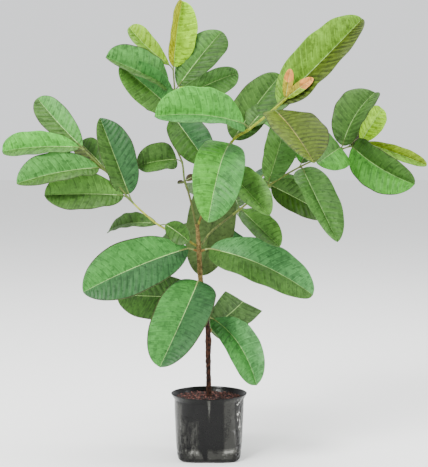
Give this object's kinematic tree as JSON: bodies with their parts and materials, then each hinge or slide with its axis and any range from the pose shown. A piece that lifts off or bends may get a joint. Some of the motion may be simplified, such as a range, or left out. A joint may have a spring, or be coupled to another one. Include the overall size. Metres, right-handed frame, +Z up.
{
  "type": "potted guava tree",
  "caption": "Young guava tree with a slender forked trunk and broad ribbed leaves in a black nursery bag.",
  "frame": {"origin": "middle of the bag's flat underside", "axes": "+Z up, -Y is the side that the picture shows, +X on the right of that view"},
  "size_m": [0.4976, 0.3561, 0.5453],
  "materials": {
    "bag_film": "thin black film, softly glossy and creased",
    "potting_mix": "coarse reddish brown coir mix",
    "trunk_bark": "rough bark, dark below and tan above",
    "bough_bark": "young yellow-green bark",
    "trunk_leaves": "matt green leaf with paler ribs",
    "foliage": "matt green leaf with paler ribs, younger leaves lighter"
  },
  "bodies": {
    "root": {"nursery_bag": "bag_film", "potting_mix": "potting_mix", "trunk": "trunk_bark", "cut_leaf": "trunk_leaves", "low_front_leaf": "trunk_leaves", "low_left_leaf": "trunk_leaves", "low_rear_leaf": "trunk_leaves", "rear_leaf": "trunk_leaves", "front_leaf": "trunk_leaves", "big_left_leaf": "trunk_leaves", "big_right_leaf": "trunk_leaves", "left_bough": "bough_bark", "left_foliage": "foliage", "right_bough": "bough_bark", "right_foliage": "foliage", "leader_bough": "bough_bark", "leader_foliage": "foliage", "crown_bough": "bough_bark", "crown_foliage": "foliage", "back_bough": "bough_bark", "back_left_foliage": "foliage", "back_right_foliage": "foliage"}
  },
  "joints": []
}
